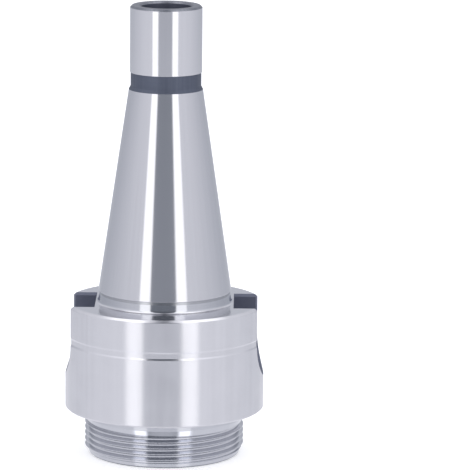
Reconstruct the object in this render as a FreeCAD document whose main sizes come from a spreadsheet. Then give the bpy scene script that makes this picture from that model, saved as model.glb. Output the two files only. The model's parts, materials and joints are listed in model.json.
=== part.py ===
import FreeCAD, Part

import math
import os
import re

import Sketcher

# A boring head shank turned and ground from one piece of steel: a 7:24 spindle taper with its tail pilot
# above a round body with two drive slots, and the threaded end that takes the boring head below it.
# Millimetres. The origin is the centre of the threaded end's face and +Z runs up the axis to the tail.

SIZES = {
    # Spindle taper
    "gauge_diameter": 31.75,
    "taper_rise": 7.0,
    "taper_run": 24.0,
    "taper_length": 48.4,
    # Relief between the taper and the body
    "flange_setback": 2.88,
    "relief_lead": 0.15,
    "relief_depth": 0.45,
    "relief_fillet": 0.5,
    # Tail pilot and the groove at its foot
    "tail_length": 20.0,
    "pilot_diameter": 17.15,
    "pilot_chamfer": 0.5,
    "tail_groove_depth": 0.18,
    "tail_groove_width": 3.3,
    "tail_groove_flare": 0.8,
    # Round body with a shallow band turned round it
    "body_diameter": 47.6,
    "body_length": 25.85,
    "body_chamfer": 0.9,
    "shoulder_chamfer": 0.4,
    "band_drop": 7.8,
    "band_width": 1.55,
    "band_depth": 0.2,
    # Drive slots, milled from the side with an end mill, with their edges broken
    "slot_width": 16.1,
    "slot_floor": 16.5,
    "slot_length": 17.2,
    "slot_edge": 0.6,
    "slot_count": 2,
    # Threaded end, plain at the thread's major diameter, with a narrower lead-in below it
    "thread_end_length": 11.05,
    "thread_diameter": 38.1,
    "lead_in_step": 0.9,
    "lead_in_length": 0.95,
    "lead_in_chamfer": 0.3,
    # Drawbar bore in the tail, at the tapping size of its thread
    "draw_bore": 10.2,
    "draw_bore_depth": 33.0,
    "draw_recess_diameter": 12.2,
    "draw_recess_depth": 2.5,
    "draw_mouth_chamfer": 0.4,
    "drill_point_angle": 118.0,
    # Centre drilling in the end face
    "centre_diameter": 4.0,
    "centre_depth": 7.0,
    "centre_mouth_diameter": 8.5,
    "centre_angle": 60.0,
}

# Heights and radii that follow from the sizes
DERIVED = {
    "face_z": "thread_end_length + body_length",
    "gauge_z": "face_z + flange_setback",
    "small_end_z": "gauge_z + taper_length",
    "tail_z": "small_end_z + tail_length",
    "taper_slope": "taper_rise / taper_run / 2",
    "gauge_radius": "gauge_diameter / 2",
    "small_end_radius": "gauge_radius - taper_length * taper_slope",
    "taper_foot_radius": "gauge_radius + relief_lead * taper_slope",
    "relief_radius": "taper_foot_radius - relief_depth",
    "relief_top_z": "gauge_z - relief_lead",
    "lead_in_radius": "thread_diameter / 2 - lead_in_step",
    "thread_start_z": "lead_in_length + lead_in_step",
    "groove_radius": "pilot_diameter / 2 - tail_groove_depth",
    "groove_foot_z": "small_end_z + tail_groove_flare",
    "groove_top_z": "groove_foot_z + tail_groove_width",
    "band_top_z": "face_z - band_drop",
    "band_foot_z": "band_top_z - band_width",
    "slot_centre_z": "face_z - slot_length + slot_width / 2",
}

FULL_TURN = 360
SAME_PLACE = 1e-4

doc = FreeCAD.newDocument("boring_head_shank")

sheet = doc.addObject("Spreadsheet::Sheet", "Sizes")
cells = {name: str(value) for name, value in SIZES.items()}
cells.update({name: "=" + formula for name, formula in DERIVED.items()})
for row, (name, content) in enumerate(cells.items(), start=1):
    sheet.set(f"A{row}", name.replace("_", " "))
    sheet.set(f"B{row}", content)
    sheet.setAlias(f"B{row}", name)
doc.recompute()

shank = doc.addObject("PartDesign::Body", "shank")
shank.Label = "shank"
shank.Placement = FreeCAD.Placement()


def value(formula):
    """The value of a formula in the sheet's names."""
    return float(sheet.evalExpression(formula))


def bind(feature, prop, formula):
    """Bind a property to a formula in the sheet's names."""
    feature.setExpression(prop, re.sub(r"[a-z_]+", r"Sizes.\g<0>", formula))


def datum(role):
    """One of the body's own planes or axes."""
    return next(item for item in shank.Origin.OriginFeatures if item.Role == role)


def new_sketch(name, role, height="0"):
    """A sketch on one of the body's own planes, moved along the plane's normal by a height."""
    sketch = shank.newObject("Sketcher::SketchObject", name)
    sketch.AttachmentSupport = (datum(role), [""])
    sketch.MapMode = "FlatFace"
    bind(sketch, "AttachmentOffset.Base.z", height)
    doc.recompute()
    return sketch


def fix(sketch, kind, *where, formula, name):
    """Add a dimension to a sketch under its own name and bind it to the sheet."""
    index = sketch.addConstraint(Sketcher.Constraint(kind, *where, value(formula)))
    sketch.renameConstraint(index, name)
    bind(sketch, f"Constraints.{name}", formula)


def half_section(name, corners):
    """A closed outline on the XZ plane from its corners, each a name, a radius and a height."""
    sketch = new_sketch(name, "XZ_Plane")
    points = [FreeCAD.Vector(value(radius), value(height), 0) for _, radius, height in corners]
    for start, end in zip(points, points[1:] + points[:1]):
        sketch.addGeometry(Part.LineSegment(start, end))
    for line, (corner, radius, height) in enumerate(corners):
        before = (line - 1) % len(corners)
        sketch.addConstraint(Sketcher.Constraint("Coincident", before, 2, line, 1))
        if points[line].x == 0:
            sketch.addConstraint(Sketcher.Constraint("PointOnObject", line, 1, -2))
        else:
            fix(sketch, "DistanceX", -1, 1, line, 1, formula=radius, name=f"{corner}_radius")
        if points[line].y == 0:
            sketch.addConstraint(Sketcher.Constraint("PointOnObject", line, 1, -1))
        else:
            fix(sketch, "DistanceY", -1, 1, line, 1, formula=height, name=f"{corner}_height")
    return sketch


def turn(kind, name, corners):
    """Revolve a half section about the axis, as a Revolution that adds or a Groove that cuts."""
    sketch = half_section(f"{name}_section", corners)
    feature = shank.newObject(f"PartDesign::{kind}", name)
    feature.Profile = sketch
    feature.ReferenceAxis = (sketch, ["V_Axis"])
    feature.Angle = FULL_TURN
    sketch.Visibility = False
    doc.recompute()
    return feature


def ring_edge(feature, radius, height):
    """The name of the circular edge with this radius at this height."""
    for number, edge in enumerate(feature.Shape.Edges, start=1):
        curve = edge.Curve
        if not isinstance(curve, Part.Circle) or abs(curve.Radius - value(radius)) > SAME_PLACE:
            continue
        if curve.Center.isEqual(FreeCAD.Vector(0, 0, value(height)), SAME_PLACE):
            return f"Edge{number}"
    raise ValueError(f"no edge of radius {radius} at {height}")


def dress(kind, name, size, radius, height):
    """Chamfer or fillet the circular edge with this radius at this height."""
    base = shank.Tip
    feature = shank.newObject(f"PartDesign::{kind}", name)
    feature.Base = (base, [ring_edge(base, radius, height)])
    bind(feature, "Radius" if kind == "Fillet" else "Size", size)
    doc.recompute()
    return feature


def axial_hole(name, height, diameter, depth, cut, downward):
    """A drilled hole on the axis with a shaped mouth, bored down or up from a height."""
    sketch = new_sketch(f"{name}_centre", "XY_Plane", height)
    sketch.addGeometry(Part.Circle(FreeCAD.Vector(), FreeCAD.Vector(0, 0, 1), value(diameter) / 2))
    sketch.addConstraint(Sketcher.Constraint("Coincident", 0, 3, -1, 1))
    fix(sketch, "Diameter", 0, formula=diameter, name="bore")
    doc.recompute()
    hole = shank.newObject("PartDesign::Hole", name)
    hole.Profile = sketch
    hole.Reversed = not downward
    hole.DepthType = "Dimension"
    hole.DrillPoint = "Angled"
    hole.HoleCutType = cut["type"]
    hole.HoleCutCustomValues = True
    bind(hole, "Diameter", diameter)
    bind(hole, "Depth", depth)
    bind(hole, "DrillPointAngle", "drill_point_angle")
    for prop, formula in cut["sizes"].items():
        bind(hole, prop, formula)
    sketch.Visibility = False
    doc.recompute()
    return hole


def volume():
    return shank.Tip.Shape.Volume


# Blank: threaded end, body, taper and pilot turned in one setting
turn("Revolution", "turned_blank", [
    ("end_centre", "0", "0"),
    ("end_rim", "lead_in_radius", "0"),
    ("lead_in_top", "lead_in_radius", "lead_in_length"),
    ("thread_start", "thread_diameter / 2", "thread_start_z"),
    ("thread_root", "thread_diameter / 2", "thread_end_length"),
    ("shoulder_rim", "body_diameter / 2", "thread_end_length"),
    ("face_rim", "body_diameter / 2", "face_z"),
    ("taper_root", "taper_foot_radius", "face_z"),
    ("taper_foot", "taper_foot_radius", "relief_top_z"),
    ("small_end", "small_end_radius", "small_end_z"),
    ("groove_foot", "small_end_radius", "groove_foot_z"),
    ("pilot_foot", "pilot_diameter / 2", "groove_foot_z"),
    ("tail_rim", "pilot_diameter / 2", "tail_z"),
    ("tail_centre", "0", "tail_z"),
])
blank_volume = volume()

# Relief that lets the grinding wheel run out below the taper
turn("Groove", "taper_relief", [
    ("top_inner", "relief_radius", "relief_top_z"),
    ("top_outer", "taper_foot_radius + relief_lead", "relief_top_z"),
    ("foot_outer", "taper_foot_radius + relief_lead", "face_z"),
    ("foot_inner", "relief_radius", "face_z"),
])
dress("Fillet", "relief_foot", "relief_fillet", "relief_radius", "face_z")

# Groove between the pilot and the small end of the taper, with a sloping foot
turn("Groove", "tail_groove", [
    ("top_inner", "groove_radius", "groove_top_z"),
    ("top_outer", "gauge_radius", "groove_top_z"),
    ("foot_outer", "gauge_radius", "small_end_z"),
    ("taper_edge", "small_end_radius", "small_end_z"),
    ("foot_inner", "groove_radius", "groove_foot_z"),
])

turned_volume = volume()

# Broken edges
dress("Chamfer", "face_edge", "body_chamfer", "body_diameter / 2", "face_z")
dress("Chamfer", "shoulder_edge", "shoulder_chamfer", "body_diameter / 2", "thread_end_length")
dress("Chamfer", "lead_in_edge", "lead_in_chamfer", "lead_in_radius", "0")
dress("Chamfer", "pilot_edge", "pilot_chamfer", "pilot_diameter / 2", "tail_z")

# Drive slots: straight walls, a flat floor square to the radius and a round lower end
slot_sketch = new_sketch("slot_outline", "YZ_Plane", "slot_floor")
half_width = value("slot_width / 2")
arc_height = value("slot_centre_z")
open_height = value("gauge_z")
arc_centre = FreeCAD.Vector(0, arc_height, 0)
circle = Part.Circle(arc_centre, FreeCAD.Vector(0, 0, 1), half_width)
slot_corners = [
    FreeCAD.Vector(half_width, arc_height, 0),
    FreeCAD.Vector(half_width, open_height, 0),
    FreeCAD.Vector(-half_width, open_height, 0),
    FreeCAD.Vector(-half_width, arc_height, 0),
]
round_end = slot_sketch.addGeometry(Part.ArcOfCircle(circle, math.pi, 2 * math.pi))
wall, top, far_wall = [
    slot_sketch.addGeometry(Part.LineSegment(start, end))
    for start, end in zip(slot_corners, slot_corners[1:])
]
slot_sketch.addConstraint([
    Sketcher.Constraint("Tangent", round_end, 2, wall, 1),
    Sketcher.Constraint("Coincident", wall, 2, top, 1),
    Sketcher.Constraint("Coincident", top, 2, far_wall, 1),
    Sketcher.Constraint("Tangent", far_wall, 2, round_end, 1),
    Sketcher.Constraint("Vertical", wall),
    Sketcher.Constraint("Vertical", far_wall),
    Sketcher.Constraint("Horizontal", top),
    Sketcher.Constraint("PointOnObject", round_end, 3, -2),
])
fix(slot_sketch, "Radius", round_end, formula="slot_width / 2", name="end_radius")
fix(slot_sketch, "DistanceY", -1, 1, round_end, 3, formula="slot_centre_z", name="end_height")
fix(slot_sketch, "DistanceY", -1, 1, wall, 2, formula="gauge_z", name="open_height")

slot = shank.newObject("PartDesign::Pocket", "drive_slot")
slot.Profile = slot_sketch
slot.Type = "ThroughAll"
slot.Reversed = True
slot_sketch.Visibility = False
doc.recompute()
one_slot_volume = volume()

slots = shank.newObject("PartDesign::PolarPattern", "drive_slots")
slots.Originals = [slot]
slots.Axis = (datum("Z_Axis"), [""])
slots.Angle = FULL_TURN
bind(slots, "Occurrences", "slot_count")
shank.Tip = slots
doc.recompute()
slotted_volume = volume()


def is_slot_wall(face):
    """Whether a face is a flat wall or the round end of a slot."""
    surface = face.Surface
    if isinstance(surface, Part.Plane):
        return abs(surface.Axis.y) > 1 - SAME_PLACE
    return isinstance(surface, Part.Cylinder) and abs(surface.Axis.x) > 1 - SAME_PLACE


def is_turned(face):
    """Whether a face is square to the axis or turned about it."""
    return abs(face.Surface.Axis.z) > 1 - SAME_PLACE


def slot_mouth_edges(shape):
    """The names of the edges where a slot's walls meet the turned surfaces."""
    names = []
    for number, edge in enumerate(shape.Edges, start=1):
        faces = shape.ancestorsOfType(edge, Part.Face)
        if any(is_slot_wall(face) for face in faces) and any(is_turned(face) for face in faces):
            names.append(f"Edge{number}")
    return names


slot_edges = shank.newObject("PartDesign::Chamfer", "slot_edges")
slot_edges.Base = (slots, slot_mouth_edges(slots.Shape))
bind(slot_edges, "Size", "slot_edge")
doc.recompute()
broken_volume = volume()

# Shallow band round the body
turn("Groove", "body_band", [
    ("top_inner", "body_diameter / 2 - band_depth", "band_top_z"),
    ("top_outer", "body_diameter / 2 + band_depth", "band_top_z"),
    ("foot_outer", "body_diameter / 2 + band_depth", "band_foot_z"),
    ("foot_inner", "body_diameter / 2 - band_depth", "band_foot_z"),
])
banded_volume = volume()

# Drawbar bore: tapping drill with a plain recess and a broken edge at its mouth
axial_hole("drawbar_bore", "tail_z", "draw_bore", "draw_bore_depth", {
    "type": "Counterbore",
    "sizes": {"HoleCutDiameter": "draw_recess_diameter", "HoleCutDepth": "draw_recess_depth"},
}, downward=True)
dress("Chamfer", "drawbar_mouth", "draw_mouth_chamfer", "draw_recess_diameter / 2", "tail_z")

# Centre drilling that carried the shank between centres
axial_hole("end_centre_hole", "0", "centre_diameter", "centre_depth", {
    "type": "Countersink",
    "sizes": {"HoleCutDiameter": "centre_mouth_diameter", "HoleCutCountersinkAngle": "centre_angle"},
}, downward=False)
finished_volume = volume()

# Every cut has removed metal, and every object is sound
volumes = [
    blank_volume, turned_volume, one_slot_volume, slotted_volume, broken_volume, banded_volume, finished_volume,
]
assert all(after < before for before, after in zip(volumes, volumes[1:])), volumes
for item in doc.Objects:
    assert not {"Invalid", "Error"} & set(item.State), (item.Name, item.State)
assert not shank.Shape.isNull() and shank.Shape.isValid()
assert len(shank.Shape.Solids) == 1

os.makedirs("parts", exist_ok=True)
shank.Shape.exportStep(f"parts/{shank.Label}.step")
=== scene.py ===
import json
import math

import bmesh
import bpy
from mathutils import Matrix, Vector


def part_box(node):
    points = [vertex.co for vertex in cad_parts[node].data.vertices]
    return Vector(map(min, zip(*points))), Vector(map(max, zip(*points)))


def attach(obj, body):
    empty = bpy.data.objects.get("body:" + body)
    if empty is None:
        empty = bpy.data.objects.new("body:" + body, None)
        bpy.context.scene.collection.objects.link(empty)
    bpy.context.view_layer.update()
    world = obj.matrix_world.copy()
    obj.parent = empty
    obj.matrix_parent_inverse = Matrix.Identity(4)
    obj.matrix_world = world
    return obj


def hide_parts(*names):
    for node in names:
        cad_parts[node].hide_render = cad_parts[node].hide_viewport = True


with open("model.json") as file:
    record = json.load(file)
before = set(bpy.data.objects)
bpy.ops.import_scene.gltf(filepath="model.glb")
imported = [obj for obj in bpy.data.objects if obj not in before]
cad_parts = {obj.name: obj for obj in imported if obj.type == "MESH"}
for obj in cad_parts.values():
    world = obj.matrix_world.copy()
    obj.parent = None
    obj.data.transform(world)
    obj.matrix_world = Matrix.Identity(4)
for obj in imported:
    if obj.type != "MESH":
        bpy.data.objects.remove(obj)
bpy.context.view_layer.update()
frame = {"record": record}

# The turned blank. The real shank is one bar of alloy steel, turned between centres: threaded end, round
# body, 7:24 taper and tail pilot in one setting, then bored for the drawbar. Sizes are in millimetres, with
# the gauge plane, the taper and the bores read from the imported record.
MM = 0.001
mounts = {mount["name"]: mount for mount in frame["record"]["mounts"]}


def mount_height(name):
    return mounts[name]["pos_m"][2] / MM


def mount_radius(name):
    return mounts[name]["dims"]["r_mm"]


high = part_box("shank")[1]
tail_z = high.z / MM
body_radius = high.x / MM
gauge_z = mount_height("spindle_taper")
gauge_radius = mount_radius("spindle_taper")
small_end_z = gauge_z + mounts["spindle_taper"]["dims"]["length_mm"]
taper_slope = 7 / 24 / 2
small_end_radius = gauge_radius - (small_end_z - gauge_z) * taper_slope
shoulder_z = mount_height("boring_head_shoulder")
thread_radius = mount_radius("boring_head_thread")
pilot_radius = mount_radius("tail_pilot")
recess_radius = mount_radius("drawbar_recess")
bore_radius = mount_radius("drawbar_thread")
centre_radius = mount_radius("end_centre")

face_z = 36.9
relief_lead = 0.15
relief_depth = 0.45
relief_flare = 0.6
relief_shade = 0.75
relief_top_z = gauge_z - relief_lead
taper_foot_radius = gauge_radius + relief_lead * taper_slope
relief_radius = taper_foot_radius - relief_depth
shade_flare = relief_flare * relief_shade / (relief_top_z - face_z)
groove_depth = 0.18
groove_width = 3.3
groove_radius = pilot_radius - groove_depth
groove_foot_z = small_end_z + 0.8
groove_top_z = groove_foot_z + groove_width
band_drop = 7.8
band_width = 1.55
band_depth = 0.2
band_slope = 0.2
band_top_z = face_z - band_drop
band_foot_z = band_top_z - band_width
band_radius = body_radius - band_depth
body_chamfer = 0.55
shoulder_chamfer = 0.4
pilot_chamfer = 0.5
mouth_chamfer = 0.4
recess_depth = 2.5
bore_depth = 33.0
drill_point = math.tan(math.radians(90 - 118 / 2))
lead_in_step = 0.9
lead_in_chamfer = 0.3
lead_in_z = 0.95
lead_in_radius = thread_radius - lead_in_step
thread_start_z = lead_in_z + lead_in_step
neck_height = 1.95
neck_foot_z = shoulder_z - neck_height
undercut_height = 1.55
undercut_depth = 0.5
undercut_foot_z = neck_foot_z - undercut_height
undercut_step = 0.15
centre_mouth = 4.25
centre_seat = math.sqrt(3)
centre_cone_z = (centre_mouth - centre_radius) * centre_seat
centre_depth = 7.0

# Each corner is a radius, a height, the round on it and the finish of the surface that follows it
GROUND, TURNED, FACED, THREAD, SHADED, RIM, OXIDE, MILLED = range(8)
section = [
    (0.0, centre_depth + centre_radius * drill_point, 0.0, TURNED),
    (centre_radius, centre_depth, 0.1, TURNED),
    (centre_radius, centre_cone_z, 0.1, TURNED),
    (centre_mouth, 0.0, 0.1, TURNED),
    # Rim steel on the lower chamfer is painted shade, for the shadowed floor it would reflect
    (lead_in_radius - lead_in_chamfer, 0.0, 0.08, RIM),
    (lead_in_radius, lead_in_chamfer, 0.08, THREAD),
    (lead_in_radius, lead_in_z, 0.15, THREAD),
    (thread_radius, thread_start_z, 0.08, THREAD),
    (thread_radius, undercut_foot_z, 0.05, THREAD),
    (thread_radius - undercut_depth, undercut_foot_z + undercut_step, 0.05, THREAD),
    (thread_radius, neck_foot_z, 0.05, THREAD),
    (thread_radius, shoulder_z, 0.25, TURNED),
    (body_radius - shoulder_chamfer, shoulder_z, 0.08, TURNED),
    (body_radius, shoulder_z + shoulder_chamfer, 0.1, TURNED),
    (body_radius, band_foot_z - band_slope, 0.06, TURNED),
    (band_radius, band_foot_z + band_slope, 0.06, TURNED),
    (band_radius, band_top_z - band_slope, 0.06, TURNED),
    (body_radius, band_top_z + band_slope, 0.06, TURNED),
    (body_radius, face_z - body_chamfer, 0.15, TURNED),
    (body_radius - body_chamfer, face_z, 0.35, FACED),
    # The relief wall takes the darker thread steel as a painted dark reflection of the flange face, and its
    # top band the shaded steel as painted shade under the taper
    (relief_radius + relief_flare, face_z, 0.7, THREAD),
    (relief_radius + shade_flare, relief_top_z - relief_shade, 0.0, SHADED),
    (relief_radius, relief_top_z, 0.12, SHADED),
    (taper_foot_radius, relief_top_z, 0.08, GROUND),
    (small_end_radius, small_end_z, 0.08, OXIDE),
    (groove_radius, groove_foot_z, 0.5, OXIDE),
    (groove_radius, groove_top_z, 0.06, OXIDE),
    (pilot_radius, groove_top_z, 0.06, GROUND),
    (pilot_radius, tail_z - pilot_chamfer, 0.08, RIM),
    (pilot_radius - pilot_chamfer, tail_z, 0.08, RIM),
    (recess_radius + mouth_chamfer, tail_z, 0.06, RIM),
    (recess_radius, tail_z - mouth_chamfer, 0.06, MILLED),
    (recess_radius, tail_z - recess_depth, 0.1, OXIDE),
    (bore_radius, tail_z - recess_depth, 0.1, OXIDE),
    (bore_radius, tail_z - bore_depth, 0.1, OXIDE),
    (0.0, tail_z - bore_depth - bore_radius * drill_point, 0.0, OXIDE),
]
ROUND_SHARE = 0.4
SUPPORT = 0.4
WIDE_ROUND = 0.2


def rounded_section(corners):
    """The section's points with every corner rounded, and the finish of the surface after each point.

    A round takes no more than its share of the lengths beside it, and a point past each of its ends
    holds the shading of the straight surface flat.
    """
    points = []
    for index, (radius, height, round_size, finish) in enumerate(corners):
        here = Vector((radius, height))
        if round_size == 0:
            points.append((here, finish))
            continue
        before = Vector(corners[index - 1][:2]) - here
        after = Vector(corners[index + 1][:2]) - here
        half_angle = before.angle(after) / 2
        longest = ROUND_SHARE * min(before.length, after.length)
        setback = min(round_size / math.tan(half_angle), longest)
        size = setback * math.tan(half_angle)
        before.normalize()
        after.normalize()
        centre = here + (before + after).normalized() * math.hypot(setback, size)
        start = here + before * setback - centre
        sweep = math.pi - 2 * half_angle
        turn = 1 if start.cross(here + after * setback - centre) > 0 else -1
        came_from = corners[index - 1][3]
        support = setback * (1 + SUPPORT)
        steps = 3 if round_size < WIDE_ROUND else 7
        points.append((here + before * support, came_from))
        for step in range(steps + 1):
            angle = turn * sweep * step / steps
            spoke = Matrix.Rotation(angle, 2) @ start
            points.append((centre + spoke, came_from if step < steps / 2 else finish))
        points.append((here + after * support, finish))
    return points


def lathe(name, points, steps):
    """A closed mesh turned about the axis from a section that starts and ends on it."""
    mesh = bmesh.new()
    rings = []
    for point, _ in points:
        if point.x == 0:
            rings.append([mesh.verts.new((0, 0, point.y * MM))] * steps)
        else:
            rings.append([
                mesh.verts.new((
                    point.x * MM * math.cos(2 * math.pi * step / steps),
                    point.x * MM * math.sin(2 * math.pi * step / steps),
                    point.y * MM,
                ))
                for step in range(steps)
            ])
    for (_, finish), lower, upper in zip(points, rings, rings[1:]):
        for step in range(steps):
            ahead = (step + 1) % steps
            corners = dict.fromkeys([lower[step], lower[ahead], upper[ahead], upper[step]])
            face = mesh.faces.new(corners)
            face.material_index = finish
            face.smooth = True
    piece = bpy.data.objects.new(name, bpy.data.meshes.new(name))
    bpy.context.collection.objects.link(piece)
    mesh.to_mesh(piece.data)
    mesh.free()
    return piece


TURN_STEPS = 320
shank = lathe("shank_steel", rounded_section(section), TURN_STEPS)


def wired(tree, kind, wires=(), **settings):
    """Add a node to a tree, with its settings and with each input linked or set, and give its outputs."""
    made = tree.nodes.new(kind)
    for name, setting in settings.items():
        setattr(made, name, setting)
    for socket, source in dict(wires).items():
        if isinstance(source, bpy.types.NodeSocket):
            tree.links.new(source, made.inputs[socket])
        else:
            made.inputs[socket].default_value = source
    return made.outputs


def calculate(tree, operation, *values):
    return wired(tree, "ShaderNodeMath", dict(enumerate(values)), operation=operation)[0]


def remap(tree, value, from_range, to_range, interpolation="LINEAR"):
    """A value carried from one range to another, and held at the ends."""
    return wired(tree, "ShaderNodeMapRange", {
        "Value": value,
        "From Min": from_range[0], "From Max": from_range[1],
        "To Min": to_range[0], "To Max": to_range[1],
    }, interpolation_type=interpolation)["Result"]


def effect(name, inputs, outputs, build):
    """A shader node group that turns its inputs into masks, heights or tones."""
    tree = bpy.data.node_groups.new(name, "ShaderNodeTree")
    for socket in inputs:
        tree.interface.new_socket(socket, in_out="INPUT", socket_type="NodeSocketFloat")
    for socket in outputs:
        tree.interface.new_socket(socket, in_out="OUTPUT", socket_type="NodeSocketFloat")
    results = build(tree, tree.nodes.new("NodeGroupInput").outputs)
    output = tree.nodes.new("NodeGroupOutput")
    for socket, result in zip(outputs, results):
        tree.links.new(result, output.inputs[socket])
    return tree


def noise(tree, place, scale, detail=2.0):
    return wired(tree, "ShaderNodeTexNoise", {"Vector": place, "Scale": scale, "Detail": detail})["Fac"]


def slow_tone(tree, given):
    """Patches of tone over a few millimetres, as handling and storage leave them."""
    place = wired(tree, "ShaderNodeTexCoord")["Object"]
    return [remap(tree, noise(tree, place, given["Scale"], 4.0), (0.3, 0.7), (0.0, 1.0))]


def tool_marks(tree, given):
    """Fine lines round the axis from the tool or wheel, and long streaks across them from its chatter."""
    place = wired(tree, "ShaderNodeTexCoord")["Object"]
    axes = wired(tree, "ShaderNodeSeparateXYZ", {0: place})
    level = wired(tree, "ShaderNodeCombineXYZ", {"X": axes["X"], "Y": axes["Y"]})[0]
    radius = wired(tree, "ShaderNodeVectorMath", {0: level}, operation="LENGTH")["Value"]
    around = wired(tree, "ShaderNodeVectorMath", {0: level}, operation="NORMALIZE")[0]
    spoke = wired(tree, "ShaderNodeSeparateXYZ", {0: around})
    # The lines change slowly round the axis, and the streaks slowly along it. On a flat face the height
    # stands still, so the radius carries both on.
    on_faces, line_change, streak_change = 0.8, 2.0, 12.0
    travel = calculate(tree, "MULTIPLY_ADD", radius, on_faces, axes["Z"])
    lines = wired(tree, "ShaderNodeCombineXYZ", {
        "X": calculate(tree, "DIVIDE", travel, given["Spacing"]),
        "Y": calculate(tree, "MULTIPLY", spoke["X"], line_change),
        "Z": calculate(tree, "MULTIPLY", spoke["Y"], line_change),
    })[0]
    streaks = wired(tree, "ShaderNodeCombineXYZ", {
        "X": calculate(tree, "MULTIPLY", spoke["X"], given["Streaks"]),
        "Y": calculate(tree, "MULTIPLY", spoke["Y"], given["Streaks"]),
        "Z": calculate(tree, "MULTIPLY", travel, streak_change),
    })[0]
    return [noise(tree, lines, 1.0), remap(tree, noise(tree, streaks, 1.0), (0.3, 0.7), (0.0, 1.0))]


def edge_wear_and_highlight(tree, given):
    """A broken mask along the sharp edges, where handling has polished them, and which paints a highlight
    on them too.
    """
    rounded = wired(tree, "ShaderNodeBevel", {"Radius": given["Width"]}, samples=6)["Normal"]
    true = wired(tree, "ShaderNodeNewGeometry")["Normal"]
    along = wired(tree, "ShaderNodeVectorMath", {0: rounded, 1: true}, operation="DOT_PRODUCT")["Value"]
    place = wired(tree, "ShaderNodeTexCoord")["Object"]
    broken = remap(tree, noise(tree, place, given["Scale"], 3.0), (0.35, 0.6), (0.15, 1.0))
    return [calculate(tree, "MULTIPLY", remap(tree, along, (0.995, 0.9), (0.0, 1.0)), broken)]


SLOW_TONE = effect("slow_tone", ("Scale",), ("Tone",), slow_tone)
TOOL_MARKS = effect("tool_marks", ("Spacing", "Streaks"), ("Line", "Streak"), tool_marks)
EDGE_WEAR_AND_HIGHLIGHT = effect("edge_wear_and_highlight", ("Width", "Scale"), ("Mask",), edge_wear_and_highlight)
WEAR_AND_HIGHLIGHT_WIDTH = 0.00012
WEAR_AND_HIGHLIGHT_SCALE = 900.0
POLISH_SPREAD = 0.08


def steel(name, light, dark, worn_and_highlight, roughness, anisotropic, spacing, streaks, depth, patch=160.0):
    """Steel in two close tones and a third for its edges, polished by handling and lightened as a painted
    highlight, with tool marks of one spacing and depth.
    """
    material = bpy.data.materials.new(name)
    material.use_nodes = True
    tree = material.node_tree
    shader = tree.nodes["Principled BSDF"]
    shader.inputs["Metallic"].default_value = 1
    shader.inputs["Anisotropic"].default_value = anisotropic
    shader.inputs["Anisotropic Rotation"].default_value = 0.25
    tangent = wired(tree, "ShaderNodeTangent", direction_type="RADIAL", axis="Z")["Tangent"]
    tree.links.new(tangent, shader.inputs["Tangent"])
    line_share, streak_share, patch_share = 0.4, 0.4, 0.2
    tone = wired(tree, "ShaderNodeGroup", {"Scale": patch}, node_tree=SLOW_TONE)["Tone"]
    marks = wired(tree, "ShaderNodeGroup", {"Spacing": spacing, "Streaks": streaks}, node_tree=TOOL_MARKS)
    wear_and_highlight = wired(tree, "ShaderNodeGroup", {
        "Width": WEAR_AND_HIGHLIGHT_WIDTH, "Scale": WEAR_AND_HIGHLIGHT_SCALE,
    }, node_tree=EDGE_WEAR_AND_HIGHLIGHT)["Mask"]
    shade = calculate(tree, "MULTIPLY", tone, patch_share)
    shade = calculate(tree, "MULTIPLY_ADD", marks["Streak"], streak_share, shade)
    shade = calculate(tree, "MULTIPLY_ADD", marks["Line"], line_share, shade)
    metal = wired(tree, "ShaderNodeMix", {6: (*light, 1), 7: (*dark, 1), 0: shade}, data_type="RGBA")[2]
    # Along the edges the third tone is partly polish from handling and partly a painted highlight
    coat = wired(tree, "ShaderNodeMix", {6: metal, 7: (*worn_and_highlight, 1), 0: wear_and_highlight}, data_type="RGBA")[2]
    tree.links.new(coat, shader.inputs["Base Color"])
    smoothest, roughest = roughness * (1 - POLISH_SPREAD), roughness * (1 + POLISH_SPREAD)
    polish = remap(tree, tone, (0.0, 1.0), (smoothest, roughest))
    tree.links.new(polish, shader.inputs["Roughness"])
    bump = wired(tree, "ShaderNodeBump", {
        "Strength": 0.6, "Distance": depth, "Height": marks["Line"],
    })["Normal"]
    tree.links.new(bump, shader.inputs["Normal"])
    return material


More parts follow.
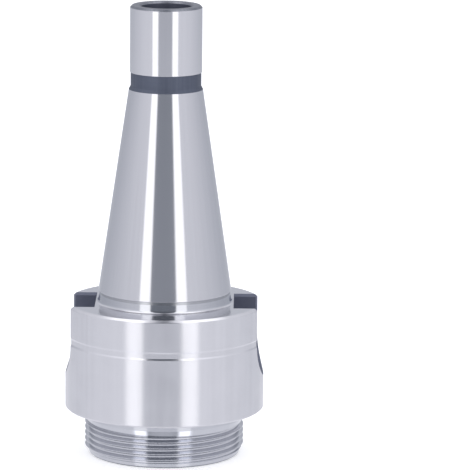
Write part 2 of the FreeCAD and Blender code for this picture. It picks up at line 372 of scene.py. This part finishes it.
# The wheel left the taper and the pilot bright, the rest is turned, and the black oxide stays where it was
# not ground off. The shaded steel is painted shade under the taper, the thread steel on the relief wall is
# a painted dark reflection, and the rim steel on the lower chamfer is painted shade. The finishes come in
# the order of their numbers above, each with its light and dark tone, a third tone for its edges that is
# partly polish from handling and partly a painted highlight, and with lengths in metres.
for finish in (
    steel("ground_steel", (0.69, 0.69, 0.72), (0.64, 0.64, 0.67), (0.72, 0.72, 0.75),
          roughness=0.17, anisotropic=0.9, spacing=0.00008, streaks=26.0, depth=1e-7),
    steel("turned_steel", (0.70, 0.70, 0.73), (0.62, 0.62, 0.65), (0.74, 0.74, 0.76),
          roughness=0.25, anisotropic=0.9, spacing=0.00015, streaks=12.0, depth=1e-7),
    steel("faced_steel", (0.69, 0.69, 0.72), (0.64, 0.64, 0.67), (0.72, 0.72, 0.75),
          roughness=0.15, anisotropic=0.8, spacing=0.00025, streaks=9.0, depth=1e-7),
    steel("thread_steel", (0.57, 0.58, 0.61), (0.52, 0.53, 0.57), (0.70, 0.70, 0.73),
          roughness=0.15, anisotropic=0.9, spacing=0.00012, streaks=14.0, depth=1e-7),
    # Painted shade, for the relief's top band under the taper
    steel("shaded_steel", (0.47, 0.48, 0.50), (0.38, 0.39, 0.42), (0.66, 0.66, 0.69),
          roughness=0.25, anisotropic=0.6, spacing=0.0002, streaks=14.0, depth=1e-7),
    steel("rim_steel", (0.28, 0.29, 0.32), (0.13, 0.14, 0.17), (0.66, 0.66, 0.70),
          roughness=0.38, anisotropic=0.3, spacing=0.0004, streaks=30.0, depth=1e-6, patch=900.0),
    steel("oxide_skin", (0.14, 0.155, 0.20), (0.105, 0.12, 0.16), (0.30, 0.31, 0.34),
          roughness=0.55, anisotropic=0.0, spacing=0.0003, streaks=12.0, depth=6e-7),
    steel("milled_oxide", (0.20, 0.215, 0.275), (0.15, 0.16, 0.21), (0.34, 0.36, 0.41),
          roughness=0.5, anisotropic=0.0, spacing=0.0006, streaks=12.0, depth=6e-7),
):
    shank.data.materials.append(finish)


# The boring head's thread. One and a half inches, 18 turns to the inch, cut right hand with a single point
# tool up the threaded end: it starts in the chamfer above the plain lead-in, and the tool is drawn out
# over the last part of a turn, in the undercut below the plain neck.
thread_pitch = 25.4 / 18
thread_depth = 0.6134 * thread_pitch
thread_root_width = thread_pitch / 5
tool_clearance = 0.12
front_root_z = 7.09
turns_below = 5
turns_above = 0.75
run_out_turns = 0.5
front_angle = math.radians(-90)


def thread_groove_tree():
    """The thread's groove as a solid: a 60 degree trapezium swept up a helix that runs out at its top."""
    tree = bpy.data.node_groups.new("thread_groove", "GeometryNodeTree")
    for name in ("Major Radius", "Depth", "Pitch", "Turns", "Run-out Turns", "Clearance", "Root Width",
                 "Foot Height", "Foot Angle"):
        tree.interface.new_socket(name, in_out="INPUT", socket_type="NodeSocketFloat")
    tree.interface.new_socket("Steps per Turn", in_out="INPUT", socket_type="NodeSocketInt")
    tree.interface.new_socket("Material", in_out="INPUT", socket_type="NodeSocketMaterial")
    tree.interface.new_socket("Geometry", in_out="OUTPUT", socket_type="NodeSocketGeometry")
    size = tree.nodes.new("NodeGroupInput").outputs

    helix = wired(tree, "GeometryNodeCurveSpiral", {
        "Resolution": size["Steps per Turn"],
        "Rotations": size["Turns"],
        "Start Radius": size["Major Radius"],
        "End Radius": size["Major Radius"],
        "Height": calculate(tree, "MULTIPLY", size["Pitch"], size["Turns"]),
        "Reverse": True,
    })[0]
    along = wired(tree, "GeometryNodeSplineParameter")["Factor"]
    run_out = calculate(tree, "DIVIDE", size["Run-out Turns"], size["Turns"])
    height = calculate(tree, "ADD", size["Depth"], size["Clearance"])
    run_out_start = calculate(tree, "SUBTRACT", 1.0, run_out)
    drawn_out = remap(tree, along, (run_out_start, 1.0), (0.0, height), "SMOOTHSTEP")
    place = wired(tree, "GeometryNodeInputPosition")["Position"]
    level = wired(tree, "ShaderNodeVectorMath", {0: place, 1: (1, 1, 0)}, operation="MULTIPLY")[0]
    outward = wired(tree, "ShaderNodeVectorMath", {0: level}, operation="NORMALIZE")[0]
    offset = wired(tree, "ShaderNodeVectorMath", {0: outward, "Scale": drawn_out}, operation="SCALE")[0]
    helix = wired(tree, "GeometryNodeSetPosition", {"Geometry": helix, "Offset": offset})[0]
    helix = wired(tree, "GeometryNodeSetCurveNormal", {"Curve": helix}, mode="Z_UP")[0]
    spread = calculate(tree, "MULTIPLY", height, 2 * math.tan(math.radians(30)))
    tool = wired(tree, "GeometryNodeCurvePrimitiveQuadrilateral", {
        "Height": height,
        "Bottom Width": size["Root Width"],
        "Top Width": calculate(tree, "ADD", size["Root Width"], spread),
        "Offset": 0.0,
    }, mode="TRAPEZOID")[0]
    to_root = calculate(tree, "SUBTRACT", calculate(tree, "MULTIPLY", height, 0.5), size["Depth"])
    lift = wired(tree, "ShaderNodeCombineXYZ", {"Y": to_root})[0]
    tool = wired(tree, "GeometryNodeTransform", {"Geometry": tool, "Translation": lift})[0]
    outwards = (0, 0, math.radians(-90))
    tool = wired(tree, "GeometryNodeTransform", {"Geometry": tool, "Rotation": outwards})[0]
    groove = wired(tree, "GeometryNodeCurveToMesh", {
        "Curve": helix, "Profile Curve": tool, "Fill Caps": True,
    })[0]
    groove = wired(tree, "GeometryNodeTransform", {
        "Geometry": groove,
        "Translation": wired(tree, "ShaderNodeCombineXYZ", {"Z": size["Foot Height"]})[0],
        "Rotation": wired(tree, "ShaderNodeCombineXYZ", {"Z": size["Foot Angle"]})[0],
    })[0]
    groove = wired(tree, "GeometryNodeRealizeInstances", {"Geometry": groove})[0]
    groove = wired(tree, "GeometryNodeSetMaterial", {"Geometry": groove, "Material": size["Material"]})[0]
    output = tree.nodes.new("NodeGroupOutput")
    tree.links.new(groove, output.inputs["Geometry"])
    return tree


def grown(name, tree, values):
    """A plain mesh grown by a node tree, with the modifier already taken off."""
    piece = bpy.data.objects.new(name, bpy.data.meshes.new(name))
    bpy.context.collection.objects.link(piece)
    modifier = piece.modifiers.new(name, "NODES")
    modifier.node_group = tree
    for item in tree.interface.items_tree:
        if item.in_out == "INPUT":
            modifier[item.identifier] = values[item.name]
    evaluated = piece.evaluated_get(bpy.context.evaluated_depsgraph_get())
    mesh = bpy.data.meshes.new_from_object(evaluated)
    piece.modifiers.clear()
    piece.data = mesh
    return piece


groove = grown("thread_groove", thread_groove_tree(), {
    "Major Radius": thread_radius * MM,
    "Depth": thread_depth * MM,
    "Pitch": thread_pitch * MM,
    "Turns": turns_below + turns_above,
    "Run-out Turns": run_out_turns,
    "Clearance": tool_clearance * MM,
    "Root Width": thread_root_width * MM,
    "Foot Height": (front_root_z - turns_below * thread_pitch) * MM,
    "Foot Angle": front_angle,
    "Steps per Turn": TURN_STEPS,
    "Material": shank.data.materials[THREAD],
})


def cut_away(piece, cutter):
    """Cut one closed mesh out of another, and delete the cutter."""
    for material in piece.data.materials:
        cutter.data.materials.append(material)
    modifier = piece.modifiers.new("cut", "BOOLEAN")
    modifier.operation = "DIFFERENCE"
    modifier.solver = "MANIFOLD"
    modifier.object = cutter
    evaluated = piece.evaluated_get(bpy.context.evaluated_depsgraph_get())
    result = bpy.data.meshes.new_from_object(evaluated)
    piece.modifiers.clear()
    old = piece.data
    piece.data = result
    bpy.data.meshes.remove(old)
    bpy.data.objects.remove(cutter)


cut_away(shank, groove)


# The drive slots. Two keyways milled across the body from either side with an end mill, so each has flat
# walls, a flat floor square to the radius and a round lower end. The milled faces kept their dark oxide.
slot_floor = 16.5
slot_half_width = 8.05
slot_centre_z = 27.75
slot_edge = 0.6
slot_arc_steps = 48
slot_open_z = gauge_z + 2
slot_open_radius = body_radius + 6
flare_reach = 4


def loft(name, rings, finishes):
    """A closed mesh through rings of points of equal count, with a finish for each step between rings."""
    mesh = bmesh.new()
    layers = [[mesh.verts.new(Vector(point) * MM) for point in ring] for ring in rings]
    mesh.faces.new(layers[0]).material_index = finishes[0]
    mesh.faces.new(layers[-1][::-1]).material_index = finishes[-1]
    count = len(rings[0])
    for inner, outer, finish in zip(layers, layers[1:], finishes):
        for index in range(count):
            ahead = (index + 1) % count
            side_face = mesh.faces.new([inner[ahead], inner[index], outer[index], outer[ahead]])
            side_face.material_index = finish
    bmesh.ops.recalc_face_normals(mesh, faces=mesh.faces)
    for face in mesh.faces:
        face.smooth = True
    cutter = bpy.data.objects.new(name, bpy.data.meshes.new(name))
    bpy.context.collection.objects.link(cutter)
    mesh.to_mesh(cutter.data)
    mesh.free()
    return cutter


def slot_cutter(side):
    """The end mill's path, with a flare that breaks the edges where it leaves the round body."""
    arc = [math.pi * (1 + step / slot_arc_steps) for step in range(slot_arc_steps + 1)]
    heights = (slot_open_z, face_z, face_z - body_chamfer)
    outline = [(-slot_half_width, z, -1, 0) for z in heights]
    for angle in arc:
        across, along = math.cos(angle), math.sin(angle)
        outline.append((slot_half_width * across, slot_centre_z + slot_half_width * along, across, along))
    outline += [(slot_half_width, z, 1, 0) for z in reversed(heights)]
    rings = [[], [], [], []]
    for y, z, out_y, out_z in outline:
        radius = body_radius - min(max(0, z - face_z + body_chamfer), body_chamfer)
        mouth_x = math.sqrt(radius ** 2 - y ** 2)
        inner = Vector((mouth_x - slot_edge, y, z))
        mouth_y = y + out_y * slot_edge * mouth_x / radius
        outer = Vector((math.sqrt(radius ** 2 - mouth_y ** 2), mouth_y, z + out_z * slot_edge))
        rings[0].append((side * slot_floor, y, z))
        rings[1].append((side * inner.x, inner.y, inner.z))
        past = inner + flare_reach * (outer - inner)
        rings[2].append((side * past.x, past.y, past.z))
        rings[3].append((side * slot_open_radius, past.y, past.z))
    return loft("slot_cutter", rings, (MILLED,) * len(rings))


def slot_top_cutter(side):
    """A wedge that breaks the slot's edges on the upper face."""
    rise = 3 * slot_edge
    foot_y, foot_z = slot_half_width, face_z - slot_edge
    mouth_y, mouth_z = foot_y + rise, foot_z + rise
    wedge = [
        (-foot_y, foot_z), (-mouth_y, mouth_z), (-mouth_y, slot_open_z),
        (mouth_y, slot_open_z), (mouth_y, mouth_z), (foot_y, foot_z),
    ]
    rings = [[(side * x, y, z) for y, z in wedge] for x in (slot_floor, slot_open_radius)]
    return loft("slot_top_cutter", rings, (MILLED,) * len(rings))


for side in (1, -1):
    cut_away(shank, slot_cutter(side))
    cut_away(shank, slot_top_cutter(side))
SHARP_ANGLE = math.radians(32)
shank.data.set_sharp_from_angle(angle=SHARP_ANGLE)
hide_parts("shank")
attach(shank, "root")


# The table and the light. A plain white floor, a pale room with a dark side behind the camera, two panels
# overhead, and two tall softboxes at the camera's left and right, which the polished round surfaces show
# as bright bands.
floor_mesh = bpy.data.meshes.new("floor")
floor_size = 6.0
floor_z = -0.00002
around = ((-1, -1), (1, -1), (1, 1), (-1, 1))
floor_mesh.from_pydata([(x * floor_size, y * floor_size, floor_z) for x, y in around], [], [(0, 1, 2, 3)])
floor = bpy.data.objects.new("floor", floor_mesh)
bpy.context.collection.objects.link(floor)
# The steel reflects the table that the room holds below its horizon, and not this floor
floor.visible_glossy = False
floor.visible_shadow = False
white = bpy.data.materials.new("floor_white")
white.use_nodes = True
paint = white.node_tree.nodes["Principled BSDF"]
paint.inputs["Base Color"].default_value = (0.9, 0.9, 0.9, 1)
paint.inputs["Roughness"].default_value = 0.6
paint.inputs["Emission Color"].default_value = (1, 1, 1, 1)
FLOOR_LIFT = 0.40
camera_ray = wired(white.node_tree, "ShaderNodeLightPath")["Is Camera Ray"]
lift = calculate(white.node_tree, "MULTIPLY", camera_ray, FLOOR_LIFT)
white.node_tree.links.new(lift, paint.inputs["Emission Strength"])
floor.data.materials.append(white)

CAMERA_TURN = math.radians(1.366)
world = bpy.data.worlds.new("room")
bpy.context.scene.world = world
world.use_nodes = True
room = world.node_tree
toward = wired(room, "ShaderNodeTexCoord")["Generated"]
toward = wired(room, "ShaderNodeSeparateXYZ", {0: toward})
azimuth = calculate(room, "ARCTAN2", toward["X"], calculate(room, "MULTIPLY", toward["Y"], -1.0))


def off(value, centre):
    """How far a value is from a centre."""
    return calculate(room, "ABSOLUTE", calculate(room, "SUBTRACT", value, centre))


def ramp(value, from_range, to_range):
    return remap(room, value, from_range, to_range, "SMOOTHSTEP")


def degrees(value, from_range, to_range):
    return ramp(value, [math.radians(angle) for angle in from_range], to_range)


def blend(mask, inside, outside):
    return calculate(room, "MULTIPLY_ADD", mask, calculate(room, "SUBTRACT", inside, outside), outside)


# The dark sector lies between the two softboxes, from the horizon up. Walls and table are pale beside it,
# and a little darker towards the back. A height is the Z of a direction, and a turn is in degrees.
off_axis = off(azimuth, CAMERA_TURN)
off_gap = off(azimuth, CAMERA_TURN - math.radians(2.7))
above = ramp(toward["Z"], (-0.26, -0.12), (0.0, 1.0))
in_sector = degrees(off_gap, (21.5, 24.5), (1.0, 0.0))
gap_above = ramp(toward["Z"], (0.08, 0.34), (0.38, 0.19))
wall = degrees(off_axis, (50, 160), (0.80, 0.57))
wall = calculate(room, "MULTIPLY", wall, remap(room, toward["Z"], (0.10, 0.45), (1.0, 1.45)))
table = blend(in_sector, 1.16, degrees(off_axis, (50, 175), (1.04, 1.0)))

# The table in front of the object carries the reflections of the dark side and of the softboxes
table_band = ramp(off(toward["Z"], -0.69), (0.06, 0.17), (1.0, 0.0))
dark_on_table = degrees(off_gap, (26, 29.5), (1.0, 0.0))
table = blend(calculate(room, "MULTIPLY", table_band, dark_on_table), 0.33, table)
softbox_on_table = degrees(off(off_gap, math.radians(40.9)), (9.5, 12), (1.5, 0.0))
table = calculate(room, "MULTIPLY_ADD", table_band, softbox_on_table, table)

seen = blend(above, blend(in_sector, gap_above, wall), table)
camera_ray = wired(room, "ShaderNodeLightPath")["Is Camera Ray"]
background = room.nodes["Background"].inputs
room.links.new(calculate(room, "MAXIMUM", seen, camera_ray), background["Strength"])
tint = wired(room, "ShaderNodeMix", {
    0: remap(room, seen, (0.25, 0.9), (0.0, 1.0)),
    6: (0.84, 0.91, 1.05, 1),
    7: (0.965, 0.97, 1.035, 1),
}, data_type="RGBA")[2]
room.links.new(tint, background["Color"])


def softbox(name, place, aim, width, height, radiance):
    """A soft light aimed at a point, of the same brightness at any size, that the camera doesn't see."""
    light = bpy.data.lights.new(name, "AREA")
    light.shape = "RECTANGLE"
    light.size = width
    light.size_y = height
    light.energy = radiance * 4 * width * height
    light.color = (1.0, 0.98, 0.93)
    lamp = bpy.data.objects.new(name, light)
    bpy.context.collection.objects.link(lamp)
    lamp.location = place
    lamp.rotation_euler = (Vector(aim) - Vector(place)).to_track_quat("-Z", "Y").to_euler()
    lamp.visible_camera = False


SOFTBOX_DISTANCE = 1.6
SOFTBOX_HEIGHT = 2.3
SOFTBOX_Z = 0.80
SOFTBOX_RADIANCE = 0.62
for name, first_degree, last_degree in (("softbox_left", -44.0, -24.8), ("softbox_right", 19.4, 38.6)):
    turn = CAMERA_TURN + math.radians((first_degree + last_degree) / 2)
    width = 2 * SOFTBOX_DISTANCE * math.tan(math.radians(last_degree - first_degree) / 2)
    place = (SOFTBOX_DISTANCE * math.sin(turn), -SOFTBOX_DISTANCE * math.cos(turn), SOFTBOX_Z)
    softbox(name, place, (0, 0, SOFTBOX_Z), width, SOFTBOX_HEIGHT, SOFTBOX_RADIANCE)
PANEL_X, PANEL_Y, PANEL_Z = 0.784, -0.15, 1.6
PANEL_WIDTH = 0.864
PANEL_LENGTH = 1.3
PANEL_RADIANCE = 0.65
for side in (-1, 1):
    place = (side * PANEL_X, PANEL_Y, PANEL_Z)
    softbox("overhead", place, (*place[:2], 0), PANEL_WIDTH, PANEL_LENGTH, PANEL_RADIANCE)


# The camera, at the photograph's viewing angle
PITCH, YAW, ROLL = math.radians(10.895), math.radians(1.013), math.radians(0.493)
forward = Vector((math.sin(YAW) * math.cos(PITCH), math.cos(YAW) * math.cos(PITCH), -math.sin(PITCH)))
level = Vector((math.cos(YAW), -math.sin(YAW), 0))
upward = level.cross(forward)
right = math.cos(ROLL) * level + math.sin(ROLL) * upward
up = -math.sin(ROLL) * level + math.cos(ROLL) * upward
camera = bpy.data.objects.new("camera", bpy.data.cameras.new("camera"))
bpy.context.collection.objects.link(camera)
bpy.context.scene.camera = camera
pose = Matrix((right, up, -forward)).transposed().to_4x4()
pose.translation = Vector((0, -0.943568, 0.234563))
camera.matrix_world = Matrix.Rotation(CAMERA_TURN, 4, "Z") @ pose
camera.data.lens = 308.10
camera.data.sensor_width = 36
camera.data.clip_start = 0.05
camera.data.clip_end = 50

bpy.context.scene.view_settings.view_transform = "Standard"
